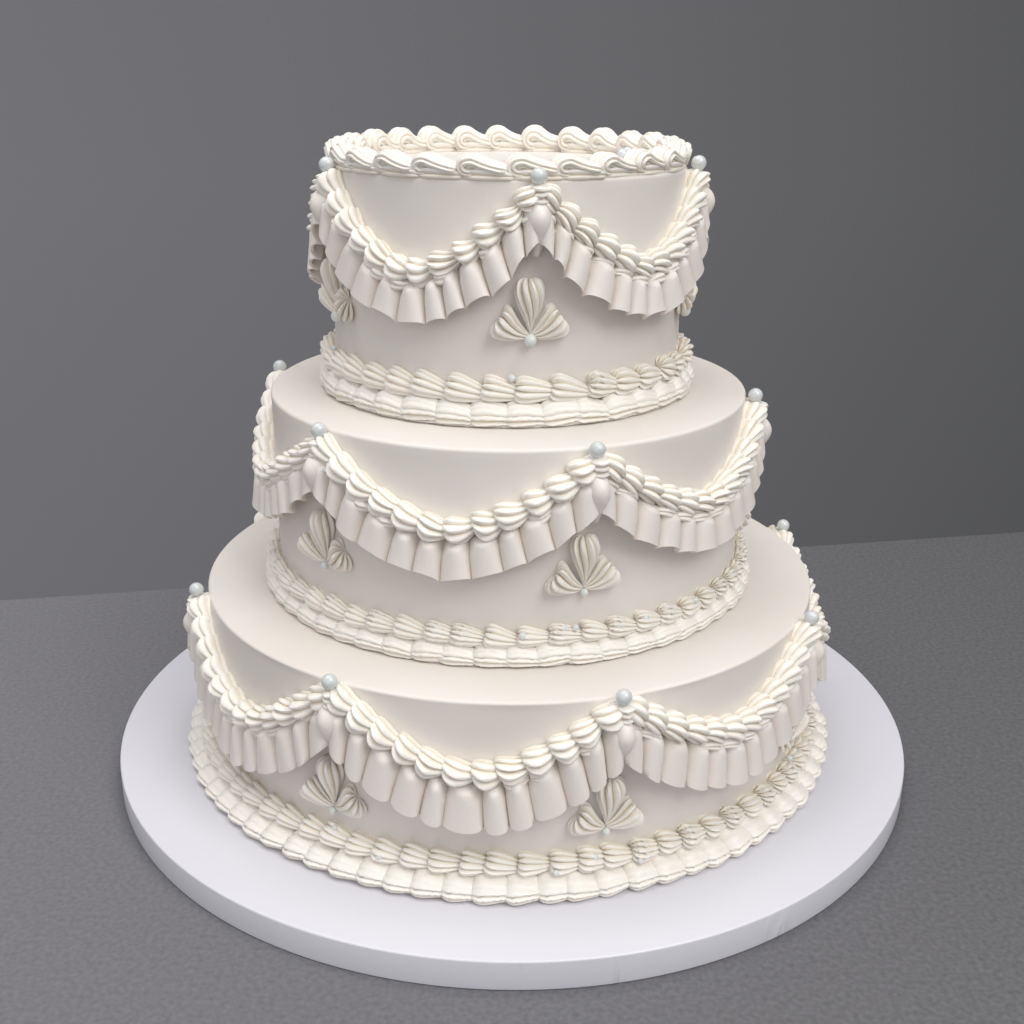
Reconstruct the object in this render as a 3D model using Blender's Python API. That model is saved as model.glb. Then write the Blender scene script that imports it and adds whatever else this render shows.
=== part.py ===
"""Three-tier cake with piped swags, on its round drum board. Metres, +Z up.

The origin is the middle of the underside of the board. An azimuth is the angle round a
tier from its front, which faces -Y, and grows toward +X. Each tier has an empty at the
middle of its underside, and everything piped on that tier is measured from there.
"""
import math
from dataclasses import dataclass

import bmesh
import bpy
from mathutils import Matrix, Vector

MM = 0.001
GAP = 0.3 * MM  # clearance between pieces that touch
WALL_GAP = 0.45 * MM  # the same, from a round wall to what is piped on it

# Drum board
BOARD_RADIUS = 203.2 * MM
BOARD_THICKNESS = 14.0 * MM
BOARD_SIDES = 56

# Garland of shells, hung in swags
SHELLS_PER_SWAG = 12
SHELL_HALF_HEIGHT = 6.2 * MM
SHELL_DEPTH = 12.0 * MM
NECK_HALF_HEIGHT = 4.4 * MM  # between one shell and the next
NECK_DEPTH = 8.6 * MM
KNOT_HALF_HEIGHT = 2.6 * MM  # where two swags meet
KNOT_DEPTH = 6.4 * MM
PEAK_BELOW_PEARL = 4.8 * MM
SWAG_POWER = 1.6  # 2 hangs as a parabola, less is sharper at the low point

# Pleated ruffle under the garland
PLEAT_FLARE = 12.4 * MM  # how far the crest of a pleat stands off the wall
CREASE_FLARE = 8.2 * MM
RUFFLE_THICKNESS = 1.9 * MM
CREST_RISE = 1.2 * MM  # the lower edge hangs in points at the creases
RUFFLE_CLEAR = 0.6 * MM

# Base borders, a lower and an upper row of shells
BORDER_NECK = 0.72  # size of a neck beside its shell
LOWER_SHOULDER = (0.80, 0.75)  # where a lower shell turns in, as shares of depth and height
UPPER_CREST = 0.3  # height of an upper shell's crest, as a share of the row's

# Top border of curls
CURLS = 26
FIRST_CURL = 3.8  # azimuth of the crest nearest the front, degrees
CURL_OVERHANG = 2.3 * MM  # past the rim
CURL_WIDTH = 14.5 * MM
CURL_HEIGHT = 11.9 * MM
CURL_RISE = 1.8 * MM  # the curls at the back are this much taller, those in front as much lower
CURL_SIZES = ((1.0, 1.0), (0.94, 0.8), (0.68, 0.52))  # width and height at crest, fall, neck
CURL_FOOT = 0.62  # half width of a curl's foot, as a share of the curl's
CURL_SHOULDER = 0.45  # height of a curl's widest point, as a share of the curl's

# Pearls
PEARL_RADIUS = 3.4 * MM
LOOSE_PEARL_RADIUS = 2.6 * MM
LOOSE_PEARLS = (  # azimuth in degrees, distance from the middle, and height above the rim
    (41.5, 72.6 * MM, 7.7 * MM),
    (47.0, 69.4 * MM, 8.1 * MM),
)

# Fleur, three shells that meet at a small pearl
FLEUR_LEAD = 1.5  # degrees to the left of the swag's peak
FLEUR_DEPTH = 6.0 * MM
TALL_PETAL = 23.5 * MM
SIDE_PETAL = 13.5 * MM
PETAL_TIP = 3.0 * MM
TALL_PETAL_RADIUS = 5.0 * MM
SIDE_PETAL_RADIUS = 5.4 * MM
PETAL_FOOT_RADIUS = 2.2 * MM
PETAL_SIDES = 4
SIDE_PETAL_TILT = 55.0  # degrees from upright
SMALL_PEARL_RADIUS = 2.4 * MM
SMALL_PEARL_OUT = 1.6 * MM


@dataclass(frozen=True)
class Tier:
    """One iced cake and what is piped on it. Heights are above the tier's underside."""

    name: str
    radius: float
    height: float
    offset: tuple  # from the middle of the board
    sides: int
    swags: int
    first_peak: float  # azimuth of the peak nearest the front, degrees
    pearl_out: float  # from the wall to the pearl's middle
    pearl_lift: float  # from the rim up to it
    swag_low: float  # the garland's middle, at its low point
    swag_lean: float  # how much higher the low points hang on the right than at the front
    ruffle_drop: float
    fleur_height: float
    border_shells: int
    border_height: float
    border_depth: float  # of the lower row
    upper_depth: float


TIERS = (
    Tier("bottom", 150.7 * MM, 86.8 * MM, (-2.0 * MM, -5.0 * MM), 56, 8, 17.3,
         5.6 * MM, 2.4 * MM, 56.3 * MM, 3.5 * MM, 16.8 * MM, 24.8 * MM, 78,
         18.0 * MM, 17.0 * MM, 10.6 * MM),
    Tier("middle", 113.7 * MM, 94.4 * MM, (-3.2 * MM, -6.0 * MM), 44, 6, 18.0,
         4.4 * MM, 0.0, 60.6 * MM, 0.5 * MM, 15.2 * MM, 31.5 * MM, 55,
         18.0 * MM, 8.6 * MM, 7.4 * MM),
    Tier("top", 82.3 * MM, 101.7 * MM, (-4.1 * MM, -1.0 * MM), 36, 5, 8.5,
         4.9 * MM, 1.7 * MM, 64.0 * MM, 0.0, 15.4 * MM, 37.0 * MM, 36,
         22.0 * MM, 9.0 * MM, 7.8 * MM),
)

FINISHES = {
    "icing": ((0.80, 0.76, 0.71), 0.55, 0.0),
    "piping": ((0.88, 0.85, 0.78), 0.50, 0.0),
    "pearl": ((0.76, 0.82, 0.82), 0.18, 0.1),
    "drum_foil": ((0.78, 0.78, 0.82), 0.35, 0.0),
}


def clear_scene():
    """Empty the scene of its objects."""
    for thing in list(bpy.data.objects):
        bpy.data.objects.remove(thing, do_unlink=True)


def material(finish):
    """The named finish as a Principled material, made once."""
    made = bpy.data.materials.get(finish)
    if made:
        return made
    colour, roughness, metallic = FINISHES[finish]
    made = bpy.data.materials.new(finish)
    made.use_nodes = True
    shader = made.node_tree.nodes["Principled BSDF"]
    shader.inputs["Base Color"].default_value = (*colour, 1.0)
    shader.inputs["Roughness"].default_value = roughness
    shader.inputs["Metallic"].default_value = metallic
    return made


def mesh_of(name, bm, finish, sharp_angle=50.0):
    """Turn a bmesh into a mesh with its finish, shaded smooth between its sharp edges."""
    bmesh.ops.recalc_face_normals(bm, faces=bm.faces)
    mesh = bpy.data.meshes.new(name)
    bm.to_mesh(mesh)
    bm.free()
    mesh.materials.append(material(finish))
    mesh.shade_smooth()
    mesh.set_sharp_from_angle(angle=math.radians(sharp_angle))
    return mesh


def place(name, mesh, parent=None, location=(0.0, 0.0, 0.0), azimuth=0.0):
    """Add a piece, turned to its azimuth (radians)."""
    piece = bpy.data.objects.new(name, mesh)
    bpy.context.scene.collection.objects.link(piece)
    piece.parent = parent
    piece.location = location
    piece.rotation_euler = (0.0, 0.0, azimuth)
    return piece


def on_wall(radius, azimuth, height):
    """The point at this radius, azimuth (radians) and height from a tier's empty."""
    return Vector((radius * math.sin(azimuth), -radius * math.cos(azimuth), height))


def disc(radius, thickness, sides, bottom):
    """A flat round slab that starts at this height, as a bmesh."""
    bm = bmesh.new()
    bmesh.ops.create_cone(bm, cap_ends=True, segments=sides, radius1=radius, radius2=radius,
                          depth=thickness)
    bmesh.ops.translate(bm, verts=bm.verts, vec=(0.0, 0.0, bottom + thickness / 2))
    return bm


def ring(steps, start, section):
    """A closed ring as a bmesh: a section spun round the axis, then shaped step by step.

    section(step) gives the (radius, height) corners of the ring there, always as many.
    """
    bm = bmesh.new()
    corner_of = bm.verts.layers.int.new("corner")
    step_of = bm.verts.layers.int.new("step")
    first = []
    for corner, (radius, height) in enumerate(section(0)):
        vertex = bm.verts.new(on_wall(radius, start, height))
        vertex[corner_of] = corner
        first.append(vertex)
    loop = [bm.edges.new((a, b)) for a, b in zip(first, first[1:] + first[:1])]
    bmesh.ops.spin(bm, geom=first + loop, cent=(0, 0, 0), axis=(0, 0, 1),
                   angle=math.tau, steps=steps, use_merge=True)
    bmesh.ops.remove_doubles(bm, verts=bm.verts, dist=0.001 * MM)
    step_angle = math.tau / steps
    for vertex in bm.verts:
        turned = math.atan2(vertex.co.x, -vertex.co.y) - start
        step = round(turned / step_angle) % steps
        vertex[step_of] = step
        radius, height = section(step)[vertex[corner_of]]
        vertex.co = on_wall(radius, start + step * step_angle, height)
    return bm


def swag_height(tier, azimuth):
    """Height of the garland's middle at this azimuth (degrees)."""
    span = 360.0 / tier.swags
    along = ((azimuth - tier.first_peak) / span) % 1.0
    low_azimuth = azimuth + (0.5 - along) * span
    low = tier.swag_low + tier.swag_lean * math.sin(math.radians(low_azimuth))
    peak = tier.height + tier.pearl_lift - PEAK_BELOW_PEARL
    return low + (peak - low) * abs(2.0 * along - 1.0) ** SWAG_POWER


def garland_half_height(tier, step):
    """Half the garland's height at this step: shell, neck, or the knot at a peak."""
    if step % (2 * SHELLS_PER_SWAG) == 0:
        return KNOT_HALF_HEIGHT
    return SHELL_HALF_HEIGHT if step % 2 else NECK_HALF_HEIGHT


def garland(tier):
    """The swags of shells round a tier: one step to a shell's middle, one to its neck."""
    steps = 2 * SHELLS_PER_SWAG * tier.swags
    wall = tier.radius + WALL_GAP

    def section(step):
        middle = swag_height(tier, tier.first_peak + 360.0 * step / steps)
        half = garland_half_height(tier, step)
        depth = SHELL_DEPTH if step % 2 else NECK_DEPTH
        if half == KNOT_HALF_HEIGHT:
            depth = KNOT_DEPTH
        return ((wall, middle - half), (tier.radius + depth, middle), (wall, middle + half))

    return ring(steps, math.radians(tier.first_peak), section)


def ruffle(tier):
    """The pleated ruffle: one step to a pleat's crest, one to the crease beside it."""
    steps = 2 * SHELLS_PER_SWAG * tier.swags
    wall = tier.radius + WALL_GAP

    def section(step):
        middle = swag_height(tier, tier.first_peak + 360.0 * step / steps)
        top = middle - garland_half_height(tier, step) - RUFFLE_CLEAR
        is_crest = step % 2 == 0
        flare = PLEAT_FLARE if is_crest else CREASE_FLARE
        bottom = middle - SHELL_HALF_HEIGHT - tier.ruffle_drop + is_crest * CREST_RISE
        outer = tier.radius + flare
        return ((wall, top), (outer, bottom), (outer - RUFFLE_THICKNESS, bottom))

    bm = ring(steps, math.radians(tier.first_peak), section)
    fold_pleats(bm)
    return bm


def fold_pleats(bm):
    """Fold every face from the upper end of its crest to the lower end of its crease."""
    step_of = bm.verts.layers.int["step"]

    def height_then_reach(vertex):
        return vertex.co.z, vertex.co.xy.length

    for face in bm.faces[:]:
        crest = [v for v in face.verts if v[step_of] % 2 == 0]
        crease = [v for v in face.verts if v[step_of] % 2]
        upper = max(crest, key=height_then_reach)
        lower = min(crease, key=height_then_reach)
        bmesh.utils.face_split(face, upper, lower)


def lower_border(tier):
    """The row of shells that stands in the corner at a tier's foot."""
    steps = 2 * tier.border_shells
    wall = tier.radius + WALL_GAP
    tall = tier.border_height / 2

    def section(step):
        size = 1.0 if step % 2 else BORDER_NECK
        depth = tier.border_depth * size
        return (
            (wall, GAP),
            (tier.radius + depth, GAP),
            (tier.radius + LOWER_SHOULDER[0] * depth, LOWER_SHOULDER[1] * tall * size),
            (wall, tall),
        )

    return ring(steps, 0.0, section)


def upper_border(tier):
    """The row of shells piped on the wall over the lower row."""
    steps = 2 * tier.border_shells
    wall = tier.radius + WALL_GAP
    foot = tier.border_height / 2 + GAP

    def section(step):
        size = 1.0 if step % 2 else BORDER_NECK
        depth = tier.upper_depth * size
        top = foot + (tier.border_height - foot) * size
        crest = foot + UPPER_CREST * (top - foot)
        return ((wall, foot), (tier.radius + depth, crest), (wall, top))

    return ring(steps, 0.0, section)


def top_border(tier):
    """The curls round the rim of the top: crest, fall and neck, three steps to each."""
    steps = len(CURL_SIZES) * CURLS
    middle = tier.radius + CURL_OVERHANG - CURL_WIDTH / 2
    base = tier.height + GAP

    def section(step):
        wide, tall = CURL_SIZES[step % len(CURL_SIZES)]
        half = wide * CURL_WIDTH / 2
        azimuth = math.radians(FIRST_CURL) + math.tau * step / steps
        high = tall * (CURL_HEIGHT - CURL_RISE * math.cos(azimuth))
        foot = CURL_FOOT * half
        shoulder = base + CURL_SHOULDER * high
        return (
            (middle - foot, base),
            (middle + foot, base),
            (middle + half, shoulder),
            (middle, base + high),
            (middle - half, shoulder),
        )

    return ring(steps, math.radians(FIRST_CURL), section)


def pearl(radius):
    """A pearl about its own middle, as a bmesh."""
    bm = bmesh.new()
    bmesh.ops.create_uvsphere(bm, u_segments=8, v_segments=4, radius=radius)
    return bm


def cut_flat(bm):
    """Cut away what lies behind the plane y = 0 and close the back."""
    cut = bmesh.ops.bisect_plane(bm, geom=bm.verts[:] + bm.edges[:] + bm.faces[:],
                                 plane_co=(0, 0, 0), plane_no=(0, 1, 0), clear_outer=True)
    edges = [e for e in cut["geom_cut"] if isinstance(e, bmesh.types.BMEdge)]
    bmesh.ops.edgeloop_fill(bm, edges=edges)
    bmesh.ops.triangulate(bm, faces=bm.faces)


def petal(length, radius, tilt):
    """Half a bud with its flat back on y = 0, from the origin up, tilted by some degrees."""
    bm = bmesh.new()
    bmesh.ops.create_cone(bm, cap_ends=True, segments=PETAL_SIDES,
                          radius1=PETAL_FOOT_RADIUS, radius2=radius, depth=length)
    bmesh.ops.translate(bm, verts=bm.verts, vec=(0.0, 0.0, length / 2))
    head = [f for f in bm.faces if all(v.co.z > length / 2 for v in f.verts)]
    bmesh.ops.poke(bm, faces=head, offset=PETAL_TIP)
    bmesh.ops.scale(bm, verts=bm.verts, vec=(1.0, FLEUR_DEPTH / radius, 1.0))
    bmesh.ops.rotate(bm, verts=bm.verts, cent=(0, 0, 0),
                     matrix=Matrix.Rotation(math.radians(tilt), 3, "Y"))
    cut_flat(bm)
    return bm


def small_pearl():
    """The little pearl in front of the petals' feet, cut flat at the wall."""
    bm = bmesh.new()
    bmesh.ops.create_uvsphere(bm, u_segments=4, v_segments=2, radius=SMALL_PEARL_RADIUS)
    bmesh.ops.translate(bm, verts=bm.verts, vec=(0.0, -SMALL_PEARL_OUT, 0.0))
    cut_flat(bm)
    return bm


def fleur():
    """The three petals and the small pearl, joined into one mesh."""
    parts = [
        petal(SIDE_PETAL, SIDE_PETAL_RADIUS, -SIDE_PETAL_TILT),
        petal(SIDE_PETAL, SIDE_PETAL_RADIUS, SIDE_PETAL_TILT),
        small_pearl(),
    ]
    joined = bpy.data.collections.new("fleur_parts")
    for bm in parts:
        joined.objects.link(bpy.data.objects.new("fleur_part", mesh_of("part", bm, "piping")))
    core = place("fleur_core", mesh_of("core", petal(TALL_PETAL, TALL_PETAL_RADIUS, 0.0),
                                       "piping"))
    union = core.modifiers.new("union", "BOOLEAN")
    union.operation = "UNION"
    union.operand_type = "COLLECTION"
    union.collection = joined
    depsgraph = bpy.context.evaluated_depsgraph_get()
    mesh = bpy.data.meshes.new_from_object(core.evaluated_get(depsgraph))
    mesh.name = "fleur"
    for thing in [core, *joined.objects]:
        bpy.data.objects.remove(thing, do_unlink=True)
    bpy.data.collections.remove(joined)
    return mesh


def build_board():
    """The drum board under the cake."""
    bm = disc(BOARD_RADIUS, BOARD_THICKNESS, BOARD_SIDES, 0.0)
    place("board", mesh_of("board", bm, "drum_foil"))


def build_tier(tier, base, pearl_mesh, fleur_mesh):
    """A tier, its borders, garland and ruffle, and the pearl and fleur of each peak."""
    origin = place(f"{tier.name}_origin", None, location=(*tier.offset, base))
    cake = disc(tier.radius, tier.height - GAP, tier.sides, GAP)
    rings = {
        f"garland_{tier.name}": garland(tier),
        f"ruffle_{tier.name}": ruffle(tier),
        f"border_lower_{tier.name}": lower_border(tier),
        f"border_upper_{tier.name}": upper_border(tier),
    }
    place(f"tier_{tier.name}", mesh_of("tier", cake, "icing"), origin)
    for name, bm in rings.items():
        place(name, mesh_of(name, bm, "piping"), origin)
    for index in range(tier.swags):
        peak = tier.first_peak + 360.0 * index / tier.swags
        azimuth = math.radians(peak)
        spot = on_wall(tier.radius + tier.pearl_out, azimuth, tier.height + tier.pearl_lift)
        place(f"pearl_{tier.name}_{index + 1}", pearl_mesh, origin, spot, azimuth)
        azimuth = math.radians(peak - FLEUR_LEAD)
        place(f"fleur_{tier.name}_{index + 1}", fleur_mesh, origin,
              on_wall(tier.radius + GAP, azimuth, tier.fleur_height), azimuth)
    return origin


def build_top(tier, origin):
    """The curls round the rim, and the pearls that lie loose on them."""
    place("top_border", mesh_of("top_border", top_border(tier), "piping"), origin)
    mesh = mesh_of("loose_pearl", pearl(LOOSE_PEARL_RADIUS), "pearl", sharp_angle=80.0)
    for index, (degrees, reach, lift) in enumerate(LOOSE_PEARLS, start=1):
        azimuth = math.radians(degrees)
        spot = on_wall(reach, azimuth, tier.height + lift)
        place(f"pearl_loose_{index}", mesh, origin, spot, azimuth)


def main():
    """Build the cake from the board up."""
    clear_scene()
    build_board()
    pearl_mesh = mesh_of("pearl", pearl(PEARL_RADIUS), "pearl", sharp_angle=80.0)
    fleur_mesh = fleur()
    base = BOARD_THICKNESS
    for tier in TIERS:
        origin = build_tier(tier, base, pearl_mesh, fleur_mesh)
        base += tier.height
    build_top(TIERS[-1], origin)


main()
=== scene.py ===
"""Three-tier cake with piped shell swags, pleated ruffles and sugar pearls, dressed round its solids.

Lengths are written in millimetres times MM. An azimuth is an angle round a tier from its
front, which faces -Y, and it grows toward +X.
"""

import logging
import math
from collections.abc import Iterator, Sequence
from dataclasses import dataclass, field
from enum import Enum
from functools import cached_property
from random import Random

import bmesh
import bpy
from bmesh.types import BMesh, BMVert
from bpy.types import Material, Mesh, Object
from mathutils import Matrix, Vector, noise


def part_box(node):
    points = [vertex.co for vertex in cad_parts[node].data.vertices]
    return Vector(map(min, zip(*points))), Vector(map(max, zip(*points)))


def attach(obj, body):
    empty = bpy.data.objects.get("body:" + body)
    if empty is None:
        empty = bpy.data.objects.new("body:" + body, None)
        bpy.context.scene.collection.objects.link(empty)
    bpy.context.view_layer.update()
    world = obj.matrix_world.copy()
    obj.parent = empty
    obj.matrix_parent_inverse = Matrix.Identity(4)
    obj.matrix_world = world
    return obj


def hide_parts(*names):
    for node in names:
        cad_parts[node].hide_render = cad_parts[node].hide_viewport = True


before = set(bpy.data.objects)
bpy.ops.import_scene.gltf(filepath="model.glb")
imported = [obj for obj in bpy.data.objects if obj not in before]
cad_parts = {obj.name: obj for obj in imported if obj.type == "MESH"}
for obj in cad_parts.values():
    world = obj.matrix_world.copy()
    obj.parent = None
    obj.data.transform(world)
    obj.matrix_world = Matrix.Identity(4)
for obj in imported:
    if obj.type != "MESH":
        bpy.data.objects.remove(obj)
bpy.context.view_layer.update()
LOG = logging.getLogger("cake")

MM = 0.001
GAP = 0.3 * MM
PHOTO_SIDE = 1024
SENSOR = 36.0
ORIGIN = Matrix.Identity(4)

SHADE_ATTRIBUTE = "groove"  # the attribute of painted shade, down grooves and creases and toward the foot
GROOVE_SHADE = 2.6  # how fast the painted shade grows with the depth of a groove
FOOT_FADE = 2.2  # the painted shade at the foot ends at 1 over this of the full height
RIB_POWER = 0.8  # less makes broader ribs and sharper grooves
PIPED_EDGE = 50.0  # degrees past which an edge stays sharp, on piping
PLEATED_EDGE = 70.0
SOFT_STOPS = ((0.35, 0.0), (0.65, 1.0))

Range = tuple[float, float]
Triple = tuple[float, float, float]
Colour = Triple


def smooth(share: float) -> float:
    """An even ramp from 0 to 1 that starts and ends level."""
    share = min(1.0, max(0.0, share))
    return share * share * (3.0 - 2.0 * share)


def mixed(low: float, high: float, share: float) -> float:
    """The value at this share of the way from low to high."""
    return low + (high - low) * share


def dome(past: float) -> float:
    """The height of a quarter round, from 1 at its middle to 0 at its end."""
    return math.sqrt(max(0.0, 1.0 - past * past))


# Shader maths


class Wire:
    """A shader socket that Python's operators add Math nodes to."""

    def __init__(self, graph: "Graph", socket: bpy.types.NodeSocket) -> None:
        """Keep the socket and the graph that it belongs to."""
        self.graph = graph
        self.socket = socket

    def maths(self, operation: str, *others: "Wire | float") -> "Wire":
        """Add a Math node that starts from this socket."""
        inputs = dict(enumerate((self, *others)))
        return self.graph.node("ShaderNodeMath", {"operation": operation}, inputs)

    def __add__(self, other: "Wire | float") -> "Wire":
        """self + other."""
        return self.maths("ADD", other)

    def __mul__(self, other: "Wire | float") -> "Wire":
        """self * other."""
        return self.maths("MULTIPLY", other)

    def __sub__(self, other: "Wire | float") -> "Wire":
        """self - other."""
        return self.maths("SUBTRACT", other)

    def __rsub__(self, other: float) -> "Wire":
        """other - self."""
        return (self * -1.0) + other

    __radd__ = __add__
    __rmul__ = __mul__


class Graph:
    """The node tree of one material, cleared but for its shader."""

    def __init__(self, name: str) -> None:
        """Start a material with a Principled shader.

        Args:
            name: The material's name.
        """
        self.material = bpy.data.materials.new(name)
        self.material.use_nodes = True
        self.tree = self.material.node_tree

    def node(self, kind: str, settings: dict | None = None, inputs: dict | None = None,
             output: int | str = 0) -> Wire:
        """Add a node.

        Args:
            kind: The node's type.
            settings: Its own properties, and the stops of a ramp, which are set first.
            inputs: Values or wires, by the name or the index of their socket.
            output: The name or the index of the socket that is wanted.

        Returns:
            The wire from that socket.
        """
        made = self.tree.nodes.new(kind)
        for name, value in (settings or {}).items():
            if name == "stops":
                self.set_stops(made.color_ramp, value)
            else:
                setattr(made, name, value)
        self.feed(made, inputs or {})
        return Wire(self, made.outputs[output])

    def feed(self, node: bpy.types.Node, inputs: dict) -> None:
        """Set or link the inputs of a node."""
        for key, value in inputs.items():
            if isinstance(value, Wire):
                self.tree.links.new(value.socket, node.inputs[key])
            else:
                node.inputs[key].default_value = value

    def dressed(self, inputs: dict) -> Material:
        """The material, once its shader has these inputs."""
        self.feed(self.tree.nodes["Principled BSDF"], inputs)
        return self.material

    @staticmethod
    def set_stops(ramp: bpy.types.ColorRamp, stops: Sequence[Range]) -> None:
        """Give a ramp its stops, as pairs of a position and a grey value."""
        for index, (position, value) in enumerate(stops):
            stop = ramp.elements[index] if index < 2 else ramp.elements.new(position)
            stop.position = position
            stop.color = (value, value, value, 1.0)

    def place(self, scale: Triple = (1.0, 1.0, 1.0)) -> Wire:
        """The point on the object, in metres, times a scale."""
        source = self.node("ShaderNodeTexCoord", output="Object")
        return self.node("ShaderNodeMapping", {}, {"Vector": source, "Scale": scale})

    def part(self, vector: Wire, axis: str) -> Wire:
        """One part of a vector."""
        return self.node("ShaderNodeSeparateXYZ", {}, {0: vector}, axis)

    def noise(self, scale: float, detail: float = 2.0, where: Wire | None = None) -> Wire:
        """Soft noise from 0 to 1, with that many blotches a metre."""
        inputs = {"Vector": where or self.place(), "Scale": scale, "Detail": detail}
        return self.node("ShaderNodeTexNoise", {}, inputs, "Fac")

    def ramp(self, value: Wire, stops: Sequence[Range] = SOFT_STOPS) -> Wire:
        """A value sent through a grey ramp."""
        return self.node("ShaderNodeValToRGB", {"stops": stops}, {"Fac": value})

    def blend(self, share: Wire, first: Colour, second: Colour) -> Wire:
        """A colour between two."""
        inputs = {0: share, 6: (*first, 1.0), 7: (*second, 1.0)}
        return self.node("ShaderNodeMix", {"data_type": "RGBA"}, inputs, 2)

    def bump(self, height: Wire, depth: float) -> Wire:
        """The surface's normal, raised by a height map of this depth in metres."""
        inputs = {"Strength": 1.0, "Distance": depth, "Height": height}
        return self.node("ShaderNodeBump", {}, inputs)


# Finishes


@dataclass(frozen=True)
class SmoothIcing:
    """The satin coat of a tier, with faint strokes of the scraper."""

    name: str = "smooth_icing"
    light: Colour = (0.812, 0.760, 0.710)
    shade: Colour = (0.774, 0.718, 0.664)
    roughness: float = 0.52
    roughness_spread: float = 0.12
    grain_depth: float = 0.05 * MM
    blotches: float = 14.0  # a metre, as are the next two
    strokes: float = 60.0
    grains: float = 900.0
    stroke_share: float = 0.7  # of the relief
    grain_share: float = 0.3
    flattened: Triple = (1.0, 1.0, 7.0)  # the strokes run level round the tier
    glow: float = 0.12
    glow_radius: Triple = (1.0, 0.75, 0.5)

    def make(self) -> Material:
        """Build the material."""
        graph = Graph(self.name)
        blotch = graph.ramp(graph.noise(self.blotches))
        stroke = graph.noise(self.strokes, 3.0, graph.place(self.flattened))
        relief = stroke * self.stroke_share + graph.noise(self.grains) * self.grain_share
        return graph.dressed({
            "Base Color": graph.blend(blotch, self.light, self.shade),
            "Roughness": self.roughness + self.roughness_spread * (stroke - 0.5),
            "Subsurface Weight": self.glow,
            "Subsurface Radius": self.glow_radius,
            "Subsurface Scale": 1.5 * MM,
            "Normal": graph.bump(relief, self.grain_depth),
        })


@dataclass(frozen=True)
class PipedIcing:
    """Piped icing, creamy white on its ridges, with painted shade, darker and yellower, down its
    grooves and toward its foot, and random blotches of tone.
    """

    name: str
    ridge: Colour
    # the colour of the painted shade in the grooves and at the foot
    groove: Colour
    roughness: float = 0.42
    grain_depth: float = 0.08 * MM
    roughness_spread: float = 0.15
    blotches: float = 45.0
    blotch_share: float = 0.35
    grains: float = 700.0
    stops: tuple[Range, Range] = ((0.1, 0.0), (0.95, 1.0))
    glow: float = 0.15
    glow_radius: Triple = (1.0, 0.8, 0.5)

    def make(self) -> Material:
        """Build the material."""
        graph = Graph(self.name)
        # the painted shade carried by the mesh, with random blotches of tone added
        deep = graph.node("ShaderNodeAttribute", {"attribute_name": SHADE_ATTRIBUTE}, {}, "Fac")
        share = deep + self.blotch_share * (graph.noise(self.blotches) - 0.5)
        grain = graph.noise(self.grains, 3.0)
        return graph.dressed({
            "Base Color": graph.blend(graph.ramp(share, self.stops), self.ridge, self.groove),
            "Roughness": self.roughness + self.roughness_spread * (grain - 0.5),
            "Subsurface Weight": self.glow,
            "Subsurface Radius": self.glow_radius,
            "Subsurface Scale": 1.5 * MM,
            "Normal": graph.bump(grain, self.grain_depth),
        })


@dataclass(frozen=True)
class PearlCoat:
    """The pearly glaze of a sugar bead."""

    name: str
    light: Colour
    shade: Colour
    roughness: float = 0.22
    roughness_spread: float = 0.15
    clouds: float = 220.0

    def make(self) -> Material:
        """Build the material."""
        graph = Graph(self.name)
        cloud = graph.noise(self.clouds, 3.0)
        return graph.dressed({
            "Base Color": graph.blend(graph.ramp(cloud), self.light, self.shade),
            "Roughness": self.roughness + self.roughness_spread * (cloud - 0.5),
            "Coat Weight": 0.6,
            "Coat Roughness": 0.08,
            "Sheen Weight": 0.15,
        })


@dataclass(frozen=True)
class DrumFoil:
    """White foil paper over the drum, creased where it is folded down the side."""

    name: str = "drum_foil_paper"
    light: Colour = (0.735, 0.72, 0.765)
    shade: Colour = (0.695, 0.685, 0.735)
    roughness: float = 0.40
    roughness_spread: float = 0.1
    crease_depth: float = 1.0 * MM
    blotches: float = 9.0  # a metre, as are the next three
    creases: float = 26.0
    patches: float = 11.0
    grains: float = 260.0
    grain_share: float = 0.06
    stretched: Triple = (1.0, 1.0, 0.25)  # the creases run down the side
    line_stops: tuple[Range, Range] = ((0.0, 1.0), (0.018, 0.0))
    patch_stops: tuple[Range, Range] = ((0.52, 0.0), (0.64, 1.0))
    side_stops: tuple[Range, Range] = ((0.3, 0.0), (0.7, 1.0))

    def make(self) -> Material:
        """Build the material."""
        graph = Graph(self.name)
        warp = graph.noise(self.creases, 3.0, graph.place(self.stretched))
        crease = graph.ramp((warp - 0.5).maths("ABSOLUTE"), self.line_stops)
        patch = graph.ramp(graph.noise(self.patches), self.patch_stops)
        facing = graph.node("ShaderNodeNewGeometry", output="True Normal")
        side = graph.ramp(1.0 - graph.part(facing, "Z"), self.side_stops)
        fine = graph.noise(self.grains)
        relief = crease * patch * side + fine * self.grain_share
        return graph.dressed({
            "Base Color": graph.blend(graph.noise(self.blotches), self.light, self.shade),
            "Roughness": self.roughness + self.roughness_spread * (fine - 0.5),
            "Coat Weight": 0.15,
            "Coat Roughness": 0.3,
            "Normal": graph.bump(relief, self.crease_depth),
        })


@dataclass(frozen=True)
class FalloffGround:
    """A matt speckled grey with painted light falloff: brighter at the left, painted darker toward
    the right.
    """

    name: str
    # painted light falloff: the lit colour at the left and the darker painted shade at the right
    left: Colour
    right: Colour
    spread: float  # metres from the one to the other
    speckles: float = 420.0

    def make(self) -> Material:
        """Build the material."""
        graph = Graph(self.name)
        # painted light falloff from the lit left to the darker right, with random speckle
        across = graph.part(graph.place(), "X") * (1.0 / self.spread) + 0.5
        share = across + (graph.noise(self.speckles) - 0.5)
        return graph.dressed({
            "Base Color": graph.blend(share, self.left, self.right), "Roughness": 0.85})


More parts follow.
